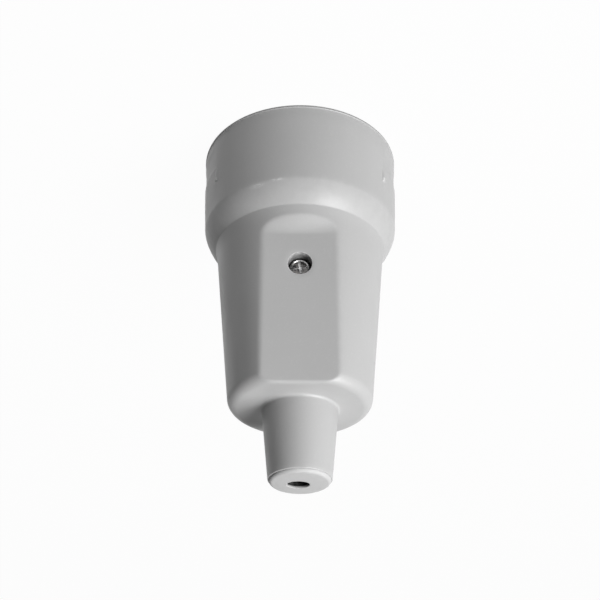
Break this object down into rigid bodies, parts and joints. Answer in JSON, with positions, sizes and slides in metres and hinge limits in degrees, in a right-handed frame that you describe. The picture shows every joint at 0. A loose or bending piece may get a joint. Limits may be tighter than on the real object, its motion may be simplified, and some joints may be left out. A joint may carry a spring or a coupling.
{
  "type": "in-line power socket",
  "caption": "Round in-line earthed cable socket: grey moulded barrel with a plug well, a tapered grip with flats and a recessed screw, and a cable neck with a soft bush.",
  "frame": {"origin": "centre of the mouth, in the plane of the mouth's rim", "axes": "+Z along the socket's axis, from the mouth towards the cable neck; -Y is the way the flat with the housing screw faces; X runs through both pin holes"},
  "size_m": [0.0504, 0.0504, 0.09],
  "materials": {
    "housing_plastic": "satin moulded grey",
    "bush_rubber": "soft moulded grey",
    "insert_plastic": "satin moulded black",
    "carrier_plastic": "moulded off-white",
    "contact_brass": "bright turned",
    "earth_strip": "plated strip",
    "screw_steel": "zinc plated"
  },
  "bodies": {
    "root": {"housing": "housing_plastic", "cable_bush": "bush_rubber", "socket_insert": "insert_plastic", "contact_carrier": "carrier_plastic", "live_contact": "contact_brass", "live_contact_spring": "screw_steel", "neutral_contact": "contact_brass", "neutral_contact_spring": "screw_steel", "earth_stirrup": "earth_strip", "earth_terminal": "contact_brass", "cord_clamp": "carrier_plastic", "housing_screw": "screw_steel", "housing_nut": "screw_steel", "carrier_screws": "screw_steel", "terminal_screws": "screw_steel", "cord_clamp_screws": "screw_steel", "cord_clamp_nuts": "screw_steel"}
  },
  "joints": []
}
